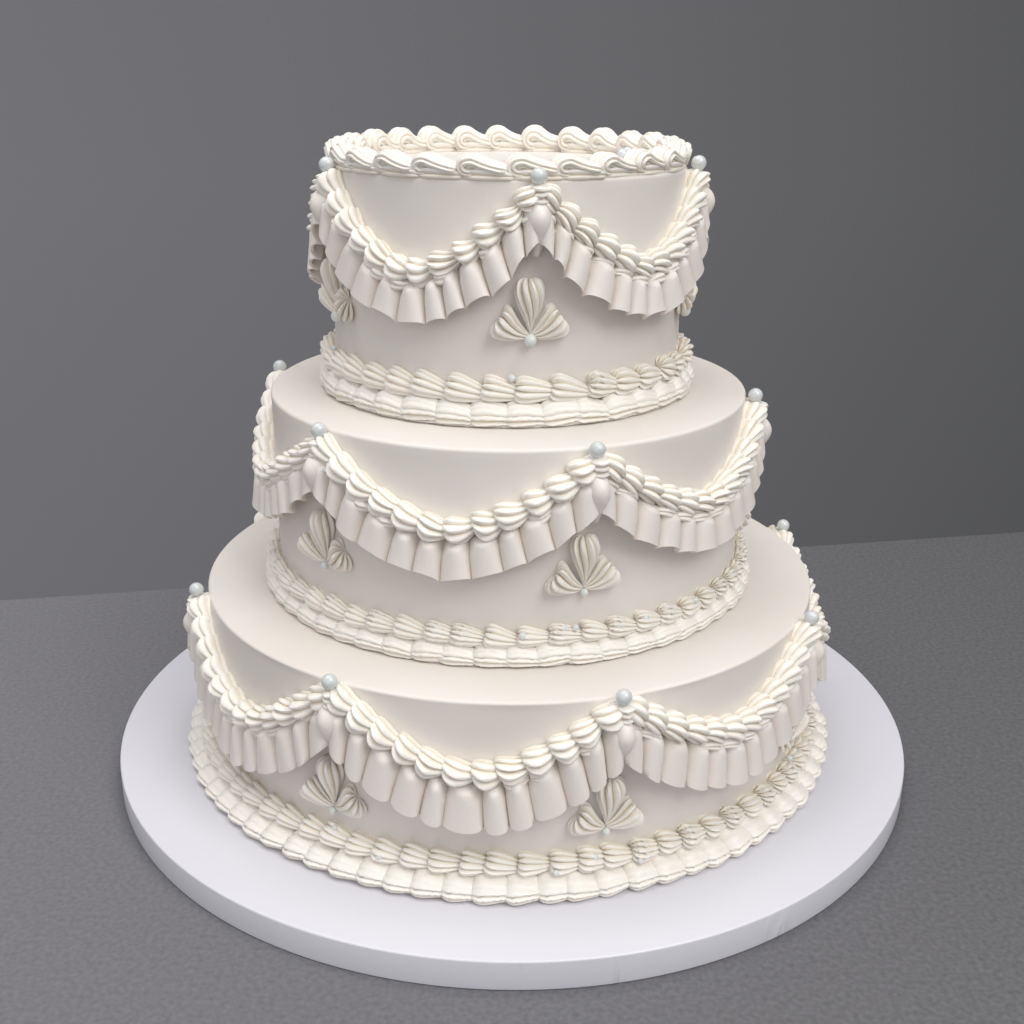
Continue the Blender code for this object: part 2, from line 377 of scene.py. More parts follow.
class Coat(Enum):
    """A finish of the cake, and the name of a slot, which its pieces are not given."""

    ICING = (SmoothIcing(), "icing")
    # the second colour is painted shade, for the grooves and feet of the piping
    PIPING = (PipedIcing("piped_icing", (0.90, 0.85, 0.785), (0.80, 0.72, 0.58)), "piping")
    # the second colour is painted shade, for the creases of the pleats
    PLEATS = (PipedIcing("pleated_icing", (0.835, 0.775, 0.72), (0.74, 0.66, 0.56), 0.46,
                         0.05 * MM), "piping")
    PEARL = (PearlCoat("pearl_glaze", (0.67, 0.69, 0.68), (0.60, 0.63, 0.63)), "pearl")
    BEAD = (PearlCoat("bead_glaze", (0.73, 0.76, 0.73), (0.66, 0.70, 0.69)), "pearl")
    MINT = (PearlCoat("mint_glaze", (0.76, 0.79, 0.75), (0.70, 0.74, 0.70), 0.35), "pearl")
    FOIL = (DrumFoil(), "drum_foil")

    @property
    def slot(self) -> str:
        """The slot's name."""
        return self.value[1]

    @cached_property
    def material(self) -> Material:
        """The finish's material, made once."""
        return self.value[0].make()


# painted light falloff on both: the first colour for the lit left, the second for the darker right
TABLE = FalloffGround("grey_table", (0.20, 0.194, 0.208), (0.095, 0.093, 0.10), 0.9)
BACKDROP = FalloffGround("grey_backdrop", (0.26, 0.255, 0.27), (0.12, 0.12, 0.125), 3.6)


# Shapes


def linked(name: str, data: bpy.types.ID) -> Object:
    """A new object of the scene that holds this mesh, light or camera."""
    made = bpy.data.objects.new(name, data)
    bpy.context.scene.collection.objects.link(made)
    return made


def add_piece(name: str, mesh: Mesh, coat: Coat, *nodes: str) -> None:
    """Add a finished piece of the cake to the scene.

    Args:
        name: The piece's name.
        mesh: Its mesh, already in place.
        coat: Its finish; its slot is read but not used.
        nodes: The solids that it stands for.
    """
    mesh.name = name
    mesh.materials.clear()
    mesh.materials.append(coat.material)
    piece = linked(name, mesh)
    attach(piece, "root")
    coat.slot
    if nodes:
        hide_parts(*nodes)
    LOG.info("%s: %d faces", name, len(mesh.polygons))


def mesh_from(bm: BMesh, sharp: float = 60.0) -> Mesh:
    """Turn a bmesh into a mesh, smooth but for edges sharper than this angle in degrees."""
    mesh = bpy.data.meshes.new("shape")
    bm.to_mesh(mesh)
    bm.free()
    mesh.shade_smooth()
    mesh.set_sharp_from_angle(angle=math.radians(sharp))
    return mesh


def turned(profile: Sequence[Range], steps: int) -> BMesh:
    """Spin an outline round the Z axis into a closed solid.

    Args:
        profile: Points (radius, height) from the axis on top, out and down to the axis below.
        steps: How many steps the turn takes.

    Returns:
        The solid, as a bmesh.
    """
    bm = bmesh.new()
    verts = [bm.verts.new((radius, 0.0, height)) for radius, height in profile]
    edges = [bm.edges.new(pair) for pair in zip(verts, verts[1:])]
    bmesh.ops.spin(bm, geom=verts + edges, cent=(0, 0, 0), axis=(0, 0, 1), angle=math.tau,
                   steps=steps, use_merge=True)
    bmesh.ops.remove_doubles(bm, verts=bm.verts, dist=0.001 * MM)
    bmesh.ops.recalc_face_normals(bm, faces=bm.faces)
    return bm


def arc(centre: Range, radius: float, first: float, last: float, steps: int) -> list[Range]:
    """Points on an arc, from one angle to another in degrees above the outward direction."""
    angles = [math.radians(mixed(first, last, step / steps)) for step in range(steps + 1)]
    return [(centre[0] + radius * math.cos(a), centre[1] + radius * math.sin(a)) for a in angles]


def ball(radius: float, middle: Vector) -> Mesh:
    """A round bead."""
    bm = bmesh.new()
    bmesh.ops.create_uvsphere(bm, u_segments=32, v_segments=18, radius=radius)
    bmesh.ops.translate(bm, verts=bm.verts, vec=middle)
    return mesh_from(bm)


def axes_at(place: Sequence[float], x: Vector, y: Vector, z: Vector) -> Matrix:
    """The matrix that turns the axes to these and moves the origin to a place."""
    return Matrix.Translation(place) @ Matrix((x, y, z)).transposed().to_4x4()


def along_and_out(azimuth: float) -> tuple[Vector, Vector]:
    """The level directions along and out of a round wall."""
    sine, cosine = math.sin(azimuth), math.cos(azimuth)
    return Vector((cosine, sine, 0.0)), Vector((sine, -cosine, 0.0))


def uneven(rng: Random, degrees: float) -> float:
    """A small turn to either side, as an angle."""
    return math.radians(rng.uniform(-degrees, degrees))


class Batch:
    """Many small shapes gathered into one mesh."""

    def __init__(self) -> None:
        """Start empty."""
        self.bm = bmesh.new()
        # the layer of painted shade that the shapes carry
        self.bm.verts.layers.float.new(SHADE_ATTRIBUTE)

    def add(self, shape: Mesh, matrix: Matrix) -> None:
        """Add a copy of a shape, moved by a matrix."""
        copy = shape.copy()
        copy.transform(matrix)
        self.bm.from_mesh(copy)
        bpy.data.meshes.remove(copy)

    def mesh(self, sharp: float = PIPED_EDGE) -> Mesh:
        """The gathered mesh."""
        return mesh_from(self.bm, sharp)


class Hand(Enum):
    """Which way a stroke of piping runs, seen from outside."""

    TAIL_RIGHT = 1
    TAIL_LEFT = -1


def ball_points(bm: BMesh, around: int, rings: int) -> Iterator[tuple[BMVert, float, int]]:
    """Model a ball whose points are then moved one by one.

    Args:
        bm: Where the ball is made.
        around: How many columns of points it has.
        rings: How many rows of faces.

    Yields:
        Each point with its height, from -1 to 1, and its column.
    """
    bmesh.ops.create_uvsphere(bm, u_segments=around, v_segments=rings, radius=1.0)
    for vertex in bm.verts:
        turn = math.atan2(vertex.co.y, vertex.co.x) % math.tau
        yield vertex, vertex.co.z, round(turn / math.tau * around) % around


def rib(column: int, steps: int) -> float:
    """How far a rib stands out at a column: 0 in a groove and 1 on its crest."""
    return abs(math.sin(math.pi * column / steps)) ** RIB_POWER


def painted_shade(cut: float, height: float, shade_weight: float) -> float:
    """How much painted shade the icing takes, down a cut of this depth and toward its foot."""
    return min(1.0, GROOVE_SHADE * cut + shade_weight * (1.0 - smooth(height * FOOT_FADE)))


def piped(bm: BMesh, hand: Hand) -> Mesh:
    """The mesh of a stroke or a curl, mirrored for the left hand."""
    if hand is Hand.TAIL_LEFT:
        bmesh.ops.scale(bm, vec=(-1.0, 1.0, 1.0), verts=bm.verts)
    bmesh.ops.recalc_face_normals(bm, faces=bm.faces)
    return mesh_from(bm, PIPED_EDGE)


@dataclass(frozen=True)
class Stroke:
    """One squeeze of a star nozzle: a ribbed body from a full head to a thin tail.

    The body lies along X with its head at -X, spreads over Y and stands up along Z from the
    surface that it is piped on.
    """

    length: float
    half_width: float
    depth: float
    ribs: int = 6
    steps: int = 5  # across one rib
    rings: int = 14
    groove: float = 0.2  # depth of the grooves, as a share of the body's radius
    fullest: float = 0.26  # where the body is widest, as a share of its length
    blunt: float = 0.38  # less makes a blunter head
    ease: float = 0.55  # 0 tapers straight to the tail
    tail: float = 0.22  # width of the tail, as a share of the full width
    lift: float = 0.0  # height of the widest line, as a share of the depth
    dip: float = 0.85  # how much of its narrowing the body also loses in depth
    twist: float = 0.0  # turn of the ribs from head to tail, degrees
    bow: float = 0.0  # how far both ends stand to +Y of the middle
    shade_weight: float = 0.3  # how much painted shade the foot takes, beside that in a groove
    plain: float = 0.0  # 1 leaves the +Y side without ribs
    front: float = 104.0  # the ribs cover this angle to each side
    sunk: float = 1.2 * MM
    scallop: float = 0.05  # how far the ribs run out past the head, as a share of the length

    BACK_STEPS = 5
    HEAD_SHARE = 0.40  # of the length lies before the origin
    TWIST_FROM = 0.3  # where along it the ribs stand straight
    TIP = 0.9  # where the tail closes
    FADE = 35.0  # degrees over which a plain side loses its ribs
    FADE_SHIFT = 0.3  # how far it has faded along its crown
    BOW_MIDDLE = 0.4  # share of the bow by which the middle stands to -Y

    def fullness(self, along: float) -> float:
        """Width of the body at this share of its length, from 0 to 1."""
        if along < self.fullest:
            short = (self.fullest - along) / self.fullest
            return max(0.0, 1.0 - short * short) ** self.blunt
        taper = (along - self.fullest) / (1.0 - self.fullest)
        width = mixed(1.0, self.tail, smooth(taper) * self.ease + taper * (1.0 - self.ease))
        return width * dome(max(0.0, along - self.TIP) / (1.0 - self.TIP))

    def shape(self, hand: Hand = Hand.TAIL_RIGHT) -> Mesh:
        """Model the stroke.

        Args:
            hand: Which way it runs; the other hand is its mirror image.

        Returns:
            The mesh, with its grooves marked.
        """
        bm = bmesh.new()
        groove = bm.verts.layers.float.new(SHADE_ATTRIBUTE)
        front = self.ribs * self.steps
        for vertex, height, column in ball_points(bm, front + self.BACK_STEPS, self.rings):
            along = (1.0 - height) / 2.0
            if column <= front:
                degrees = mixed(-self.front, self.front, column / front)
                crest = rib(column, self.steps)
            else:
                degrees = mixed(self.front, 360.0 - self.front, (column - front) / self.BACK_STEPS)
                crest = 0.0
            angle = math.radians(degrees + self.twist * (along - self.TWIST_FROM))
            ribless = self.plain * smooth(degrees / self.FADE + self.FADE_SHIFT)
            cut = (1.0 - crest) * (1.0 - ribless)
            full = self.fullness(along)
            radial = 1.0 - self.groove * cut
            across = self.half_width * full * radial * math.sin(angle)
            rise = self.lift + (1.0 - self.lift) * math.cos(angle)
            out = self.depth * full ** self.dip * radial * rise
            reach = self.scallop * self.length * crest * (1.0 - along) ** 2 * full
            vertex.co = Vector((
                self.length * (along - self.HEAD_SHARE) - reach,
                across + self.bow * ((2.0 * along - 1.0) ** 2 - self.BOW_MIDDLE),
                max(out, -self.sunk),
            ))
            # painted shade down the grooves, and toward the foot
            depth = self.groove * cut * min(1.0, full * 2.0)
            vertex[groove] = painted_shade(depth, out / self.depth, self.shade_weight)
        return piped(bm, hand)


@dataclass(frozen=True)
class Curl:
    """One curl of the top border: a ribbed rope that rolls up, over and down into a tail.

    It stands on the XY plane, runs along X from 0, and its rope rolls in the XZ plane.
    """

    pitch: float
    height: float
    half_width: float
    ribs: int = 9
    steps: int = 5
    rings: int = 32
    groove: float = 0.2
    eye: Range = (0.38, 0.42)  # centre of the roll, as shares of pitch and height
    roll: float = 0.25  # radius of the roll, as a share of the height
    grown: Range = (0.75, 1.1)  # how it widens from start to end
    broad: float = 1.35  # how much wider the roll is than tall
    start: float = -60.0  # where on the roll the rope starts, degrees
    turn: float = 245.0
    reach: float = 1.22  # where the tail ends, as a share of the pitch

    BUD = 0.3  # radius of the rope where it starts, as a share of the height
    FULL = 0.36  # over the arch
    THIN = 0.3  # and at the tail's end
    ENDS = (0.09, 0.93)  # the rope rounds off outside these shares of its length
    ROLLED = 0.66  # share of the rope that is in the roll
    NUDGE = 0.004  # how far to each side its heading is measured
    FOOT_SHADE = 0.3  # how much painted shade its foot takes, beside that in a groove

    def centre(self, along: float) -> Vector:
        """The middle of the rope at this share of its length, as (x, z)."""
        eye = Vector((self.eye[0] * self.pitch, self.eye[1] * self.height))
        radius = self.roll * self.height
        if along <= self.ROLLED:
            angle = math.radians(self.start - self.turn * along / self.ROLLED)
            grown = mixed(*self.grown, along / self.ROLLED)
            return eye + radius * grown * Vector((self.broad * math.cos(angle), math.sin(angle)))
        corner = self.centre(self.ROLLED)
        drift = (along - self.ROLLED) / (1.0 - self.ROLLED)
        heading = math.radians(self.start - self.turn - 90.0)
        first = Vector((math.cos(heading), math.sin(heading)))
        end = Vector((self.reach * self.pitch, self.THIN * self.height))
        bent = corner + first * (end.x - corner.x) * 0.5
        return (corner * (1 - drift) ** 2 + bent * 2 * drift * (1 - drift) + end * drift ** 2)

    def thickness(self, along: float) -> float:
        """Radius of the rope at this share of its length."""
        first, last = self.ENDS
        if along < first:
            return self.BUD * self.height * dome(1.0 - along / first)
        if along < 0.5:
            return self.height * mixed(self.BUD, self.FULL, (along - first) / (0.5 - first))
        width = self.height * mixed(self.FULL, self.THIN, smooth((along - 0.5) / 0.5))
        return width * dome(max(0.0, along - last) / (1.0 - last))

    def shape(self, hand: Hand) -> Mesh:
        """Model the curl.

        Args:
            hand: Which way its tail points.

        Returns:
            The mesh, with its grooves marked.
        """
        bm = bmesh.new()
        groove = bm.verts.layers.float.new(SHADE_ATTRIBUTE)
        around = self.ribs * self.steps
        wide = self.half_width / (self.FULL * self.height)
        for vertex, height, column in ball_points(bm, around, self.rings):
            along = math.acos(max(-1.0, min(1.0, height))) / math.pi
            before, after = max(0.0, along - self.NUDGE), min(1.0, along + self.NUDGE)
            heading = (self.centre(after) - self.centre(before)).normalized()
            normal = Vector((-heading.y, heading.x))
            cut = self.groove * (1.0 - rib(column, self.steps))
            angle = math.tau * column / around
            radius = self.thickness(along) * (1.0 - cut)
            middle = self.centre(along) + normal * radius * math.cos(angle)
            vertex.co = Vector((middle.x, radius * wide * math.sin(angle), max(0.0, middle.y)))
            # painted shade down the grooves, and toward the foot
            vertex[groove] = painted_shade(cut, middle.y / self.height, self.FOOT_SHADE)
        return piped(bm, hand)


# Tiers


@dataclass
class Tier:
    """One iced cake: where it stands, and the sizes of what is piped on it.

    Heights are above the tier's underside.
    """

    name: str
    swag_low: float
    swag_lean: float
    ruffle_drop: float
    ruffle_rise: float  # how much higher its lower edge is at a crest than at a crease
    fleur_height: float
    border_shells: int
    border_height: float
    border_depth: float
    upper_depth: float
    centre: Vector = field(init=False)
    radius: float = field(init=False)
    foot: float = field(init=False)
    height: float = field(init=False)
    peaks: list[float] = field(init=False)
    peak_height: float = field(init=False)

    PEAK_BELOW_PEARL = 4.8 * MM
    SWAG_POWER = 1.6

    def __post_init__(self) -> None:
        """Read the tier's place and its peaks from the frame."""
        low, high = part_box(f"tier_{self.name}")
        self.centre = (low + high) / 2
        self.radius = (high.x - low.x) / 2
        self.foot = low.z - GAP
        self.height = high.z - self.foot
        pearls = [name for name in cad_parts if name.startswith(f"pearl_{self.name}_")]
        self.peaks = [0.0] * len(pearls)
        for name in pearls:
            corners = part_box(name)
            middle = (corners[0] + corners[1]) / 2
            spot = middle - self.centre
            self.peaks[int(name.rsplit("_", 1)[1]) - 1] = math.atan2(spot.x, -spot.y)
            self.peak_height = middle.z - self.foot - self.PEAK_BELOW_PEARL

    @property
    def span(self) -> float:
        """The angle from one peak to the next."""
        return math.tau / len(self.peaks)

    def spot(self, azimuth: float, height: float, out: float = 0.0) -> Vector:
        """The point at this azimuth and height, so far out from the wall."""
        reach = self.radius + out
        return Vector((self.centre.x + reach * math.sin(azimuth),
                       self.centre.y - reach * math.cos(azimuth), self.foot + height))

    def on_wall(self, azimuth: float, height: float, tilt: float = 0.0, out: float = 0.0,
                size: Sequence[float] = (1.0, 1.0, 1.0)) -> Matrix:
        """The matrix that sets a stroke on the wall.

        Args:
            azimuth: Where round the tier.
            height: Where above its underside.
            tilt: How far the stroke's X axis turns up from level.
            out: How far out from the wall.
            size: Scales along, across and out.

        Returns:
            The matrix, with X along the wall, Y up it and Z out of it.
        """
        level, outward = along_and_out(azimuth)
        along = level * math.cos(tilt) + Vector((0, 0, math.sin(tilt)))
        turn = axes_at(self.spot(azimuth, height, out), along, outward.cross(along), outward)
        return turn @ Matrix.Diagonal((*size, 1.0))

    def along_swag(self, azimuth: float) -> float:
        """The share of a swag, from its left peak to its right one, at this azimuth."""
        return ((azimuth - self.peaks[0]) / self.span) % 1.0

    def swag_height(self, azimuth: float) -> float:
        """Height of the garland's middle at this azimuth."""
        along = self.along_swag(azimuth)
        low_azimuth = azimuth + (0.5 - along) * self.span
        low = self.swag_low + self.swag_lean * math.sin(low_azimuth)
        return low + (self.peak_height - low) * abs(2.0 * along - 1.0) ** self.SWAG_POWER

    def swag_hand(self, middle: float) -> Hand:
        """Swags right of the front peak run the other way from those left of it."""
        right = (middle - self.peaks[0]) % math.tau < math.pi
        return Hand.TAIL_LEFT if right else Hand.TAIL_RIGHT


@dataclass(frozen=True)
class TierIcing:
    """The smooth coat of a tier, with a softly rounded rim."""

    tier: Tier
    rim_round: float = 1.6 * MM
    steps: int = 160
    rings: int = 6  # on top
    courses: int = 10  # up the wall
    unevenness: float = 0.35 * MM
    hollows: float = 22.0  # about so many a metre

    def build(self) -> None:
        """Model the coat and add it."""
        tier = self.tier
        edge = tier.radius
        top = tier.height
        inner = [(edge * ring / self.rings, top) for ring in range(self.rings)]
        rim = arc((edge - self.rim_round, top - self.rim_round), self.rim_round, 90.0, 0.0, 5)
        wall = [(edge, mixed(top - 3 * self.rim_round, 2 * GAP, course / self.courses))
                for course in range(self.courses + 1)]
        bm = turned([*inner, *rim, *wall, (edge - GAP, GAP), (0.0, GAP)], self.steps)
        for vertex in bm.verts:
            flat = Vector((vertex.co.x, vertex.co.y, 0.0))
            if GAP * 3 < vertex.co.z < top - self.rim_round and flat.length > 0:
                wander = noise.noise(vertex.co * self.hollows) - 0.5
                vertex.co += flat.normalized() * wander * self.unevenness
        bmesh.ops.translate(bm, verts=bm.verts, vec=(tier.centre.x, tier.centre.y, tier.foot))
        add_piece(f"iced_tier_{tier.name}", mesh_from(bm), Coat.ICING, f"tier_{tier.name}")


@dataclass(frozen=True)
class Garland:
    """The shells piped along a tier's swags, and the knot at each peak."""

    tier: Tier
    seed: int
    shells: int = 12
    curved: float = 1.08  # length of a swag, as a share of the level way between its peaks
    overlap: float = 1.5  # length of a shell, as a share of the spacing
    half_width: float = 6.5 * MM
    depth: float = 11.8 * MM
    bow: float = 2.6 * MM
    follow: float = 0.8  # how far a shell turns with the slope
    kinds: int = 6
    lobe_shares: Range = (0.35, 0.9)  # with the tail right, and left
    lobe_below: float = 5.6 * MM
    lobe_out: float = 0.2 * MM
    knot_lifts: tuple[float, ...] = (-5.0 * MM, -2.4 * MM, 0.0)  # from the peak

    FINE = 240  # steps in which a swag is measured
    SLOPE_STEPS = 4  # to each side of a spot, for its slope

    def shell(self, rng: Random, hand: Hand, pitch: float) -> Mesh:
        """One kind of shell."""
        return Stroke(
            length=pitch * self.overlap * rng.uniform(0.95, 1.08),
            half_width=self.half_width * rng.uniform(0.93, 1.03),
            depth=self.depth * rng.uniform(0.93, 1.0),
            ribs=rng.choice((6, 7, 7)), rings=16, groove=rng.uniform(0.22, 0.29),
            fullest=rng.uniform(0.28, 0.38), blunt=rng.uniform(0.33, 0.38),
            tail=rng.uniform(0.26, 0.36), lift=0.36,
            twist=rng.uniform(-34.0, -8.0) * hand.value,
            bow=self.bow * hand.value * rng.uniform(0.6, 1.2), shade_weight=0.25, front=148.0,
        ).shape(hand)

    def lobe(self, rng: Random, hand: Hand, pitch: float) -> Mesh:
        """The small second fold that shows below some of the shells."""
        return Stroke(length=pitch * 1.05, half_width=3.1 * MM, depth=9.4 * MM, ribs=4,
                      rings=12, groove=0.18, fullest=0.4, tail=0.6, lift=0.4, front=140.0,
                      twist=rng.uniform(-16.0, 0.0), bow=1.2 * MM * hand.value).shape(hand)

    def stations(self, first: float) -> list[Triple]:
        """Even spots along a swag, as (azimuth, height, slope) from its left peak."""
        tier, fine = self.tier, self.FINE
        azimuths = [first + tier.span * (step + 0.5) / fine for step in range(fine)]
        heights = [tier.swag_height(azimuth) for azimuth in azimuths]
        run = tier.radius * tier.span / fine
        walked = [0.0]
        for before, after in zip(heights, heights[1:]):
            walked.append(walked[-1] + math.hypot(run, after - before))
        spots = []
        for shell in range(self.shells):
            goal = walked[-1] * (shell + 0.5) / self.shells
            index = min(range(fine), key=lambda i: abs(walked[i] - goal))
            left = max(0, index - self.SLOPE_STEPS)
            right = min(fine - 1, index + self.SLOPE_STEPS)
            slope = math.atan2(heights[right] - heights[left],
                               tier.radius * (azimuths[right] - azimuths[left]))
            spots.append((azimuths[index], heights[index], slope))
        return spots

    def build(self) -> None:
        """Pipe the swags and add them."""
        tier = self.tier
        rng = Random(self.seed)
        pitch = tier.radius * tier.span * self.curved / self.shells
        shells = {hand: [self.shell(rng, hand, pitch) for _ in range(self.kinds)]
                  for hand in Hand}
        lobes = {hand: self.lobe(rng, hand, pitch) for hand in Hand}
        shares = dict(zip(Hand, self.lobe_shares))
        knot = Stroke(length=7.8 * MM, half_width=2.3 * MM, depth=10.4 * MM, ribs=3, rings=12,
                      fullest=0.5, tail=0.8, lift=0.3, front=130.0, scallop=0.0).shape()
        batch = Batch()
        for first in tier.peaks:
            hand = tier.swag_hand(first + tier.span / 2)
            for azimuth, height, slope in self.stations(first):
                wide = rng.uniform(0.92, 1.06)
                size = (rng.uniform(0.94, 1.06), wide, rng.uniform(0.94, 1.01))
                away = azimuth + rng.uniform(-0.07, 0.07) * pitch / tier.radius
                tilt = slope * self.follow + uneven(rng, 6.0)
                batch.add(rng.choice(shells[hand]), tier.on_wall(away, height, tilt, 0.0, size))
                if rng.random() < shares[hand]:
                    lower = height - self.lobe_below / math.cos(slope)
                    batch.add(lobes[hand], tier.on_wall(away, lower, tilt, self.lobe_out, size))
            for lift in self.knot_lifts:
                height = tier.peak_height + lift
                batch.add(knot, tier.on_wall(first, height, rng.uniform(-0.12, 0.12)))
        add_piece(f"shell_swags_{tier.name}", batch.mesh(), Coat.PIPING, f"garland_{tier.name}")


@dataclass(frozen=True)
class Ruffle:
    """The pleated strip that hangs below a tier's garland, with one large fold at each peak."""

    tier: Tier
    seed: int
    pleats: int = 12  # in a swag
    columns: int = 14  # in a pleat
    rows: int = 12
    top_below: float = 4.4 * MM  # the strip's top, under the garland's middle
    edge_below: float = 6.2 * MM  # added to the drop, down to the lower edge
    start_out: float = 0.4 * MM
    shoulder: float = 0.18  # the pleats leave the wall within this share of the drop
    swell: float = 9.8 * MM  # how far their crests stand out there
    flare: float = 12.2 * MM  # and at the lower edge
    crease: float = 6.8 * MM
    crease_shares: Range = (0.55, 0.45)  # reached at its own shoulder, and evenly on the way down
    crease_shoulder: float = 0.45
    thickness: float = 1.4 * MM
    fold: float = 0.1  # how far a pleat bulges over its creases, as a share of its width
    slant: float = 0.035
    lean: float = 0.5  # how far the pleats turn square to the garland
    level_share: float = 0.22  # beside a peak they turn less, within this share of a swag
    steepest: float = 0.9  # slope past which they turn no more
    widths: Range = (0.72, 1.28)  # of the pleats, as shares of the usual
    rises: Range = (0.5, 1.4)  # of their lower edges, as shares of the tier's
    fullness: Range = (0.88, 1.0)  # of their crests
    sags: Range = (-0.8 * MM, 0.6 * MM)  # of the lower edge at a crease
    shade_weight: float = 0.6  # how much painted shade the creases take
    fold_below: float = 13.2 * MM  # a large fold, under its peak

    ROW_POWER = 1.5  # the rows lie closer toward the top
    LOOSE_POWER = 0.5  # the pleats start to fold just under the garland
    ARCH_POWER = 0.95  # less makes fuller pleats and sharper creases
    EDGE_POWER = 3.0  # the lower edge rises in its last part alone

    def marks(self, rng: Random) -> list[float]:
        """Where the creases fall round the tier, as shares of the whole turn."""
        marks = [0.0]
        swags = len(self.tier.peaks)
        for _ in range(swags):
            sizes = [rng.uniform(*self.widths) for _ in range(self.pleats)]
            scale = 1.0 / swags / sum(sizes)
            for size in sizes:
                marks.append(marks[-1] + size * scale)
        return marks

    def build(self) -> None:
        """Pleat the strip, add the large folds and add the ruffle."""
        tier = self.tier
        rng = Random(self.seed)
        batch = Batch()
        batch.add(self.strip(rng), ORIGIN)
        fold = Stroke(length=24.0 * MM, half_width=6.4 * MM, depth=13.2 * MM, ribs=1, steps=26,
                      rings=20, groove=0.0, fullest=0.36, blunt=0.45, ease=0.8, tail=0.34,
                      scallop=0.0, shade_weight=0.4).shape()
        for peak in tier.peaks:
            tilt = -math.pi / 2 + uneven(rng, 6.0)
            batch.add(fold, tier.on_wall(peak, tier.peak_height - self.fold_below, tilt))
        add_piece(f"pleated_ruffle_{tier.name}", batch.mesh(PLEATED_EDGE), Coat.PLEATS,
                  f"ruffle_{tier.name}")

    def strip(self, rng: Random) -> Mesh:
        """The pleated strip, closed round the tier."""
        tier = self.tier
        marks = self.marks(rng)
        count = len(marks) - 1
        rise = [tier.ruffle_rise * rng.uniform(*self.rises) for _ in range(count)]
        fullness = [rng.uniform(*self.fullness) for _ in range(count)]
        sag = [rng.uniform(*self.sags) for _ in range(count + 1)]
        sag[-1] = sag[0]
        bm = bmesh.new()
        groove = bm.verts.layers.float.new(SHADE_ATTRIBUTE)
        across = count * self.columns
        bmesh.ops.create_grid(bm, x_segments=across, y_segments=self.rows, size=1.0)
        for vertex in bm.verts:
            column = round((vertex.co.x + 1.0) / 2.0 * across)
            down = ((1.0 - vertex.co.y) / 2.0) ** self.ROW_POWER
            pleat = min(column // self.columns, count - 1)
            part = column / self.columns - pleat
            circle = math.tau * part
            loose = down ** self.LOOSE_POWER
            moved = part - self.fold * loose * math.sin(circle)
            moved += self.slant * (1.0 - math.cos(circle)) * loose
            azimuth = tier.peaks[0] + math.tau * mixed(marks[pleat], marks[pleat + 1], moved)
            arch = abs(math.sin(math.pi * part)) ** self.ARCH_POWER
            out = mixed(self.crease_out(down), fullness[pleat] * self.crest_out(down), arch)
            drop = mixed(self.top_below, self.edge_below + tier.ruffle_drop, down)
            edge = rise[pleat] * arch + mixed(sag[pleat], sag[pleat + 1], part)
            height = tier.swag_height(azimuth) - drop + edge * down ** self.EDGE_POWER
            vertex.co = tier.spot(azimuth + self.leaning(azimuth, down), height, out)
            # painted shade in the creases, half as deep at the lower edge
            vertex[groove] = (1.0 - arch) * self.shade_weight * (1.0 - down * 0.5)
        bmesh.ops.remove_doubles(bm, verts=bm.verts, dist=0.01 * MM)
        self.thicken(bm)
        return mesh_from(bm, PLEATED_EDGE)

    def thicken(self, bm: BMesh) -> None:
        """Give the strip a back, straight in toward the tier."""
        geometry = [*bm.verts, *bm.edges, *bm.faces]
        made = bmesh.ops.extrude_face_region(bm, geom=geometry, use_keep_orig=True)["geom"]
        axis = Vector((self.tier.centre.x, self.tier.centre.y, 0.0))
        for vertex in [item for item in made if isinstance(item, BMVert)]:
            inward = axis - vertex.co
            inward.z = 0.0
            vertex.co += inward.normalized() * self.thickness
        bmesh.ops.recalc_face_normals(bm, faces=bm.faces)

    def crest_out(self, down: float) -> float:
        """How far a pleat's crest stands out at this share of the way down."""
        domed = self.swell * dome(1.0 - min(1.0, down / self.shoulder))
        return self.start_out + domed + (self.flare - self.swell - self.start_out) * down

    def crease_out(self, down: float) -> float:
        """How far the crease between two pleats stands out."""
        early, even = self.crease_shares
        share = early * smooth(down / self.crease_shoulder) + even * down
        return self.start_out + self.crease * share

    def leaning(self, azimuth: float, down: float) -> float:
        """How far round the pleats lean as they hang, as an angle."""
        tier = self.tier
        along = tier.along_swag(azimuth)
        level = smooth(min(along, 1.0 - along) / self.level_share)
        small = 0.01
        rise = tier.swag_height(azimuth + small) - tier.swag_height(azimuth - small)
        slope = rise / (2 * small * tier.radius)
        slope = max(-self.steepest, min(self.steepest, slope))
        return level * self.lean * slope * tier.ruffle_drop * down / tier.radius


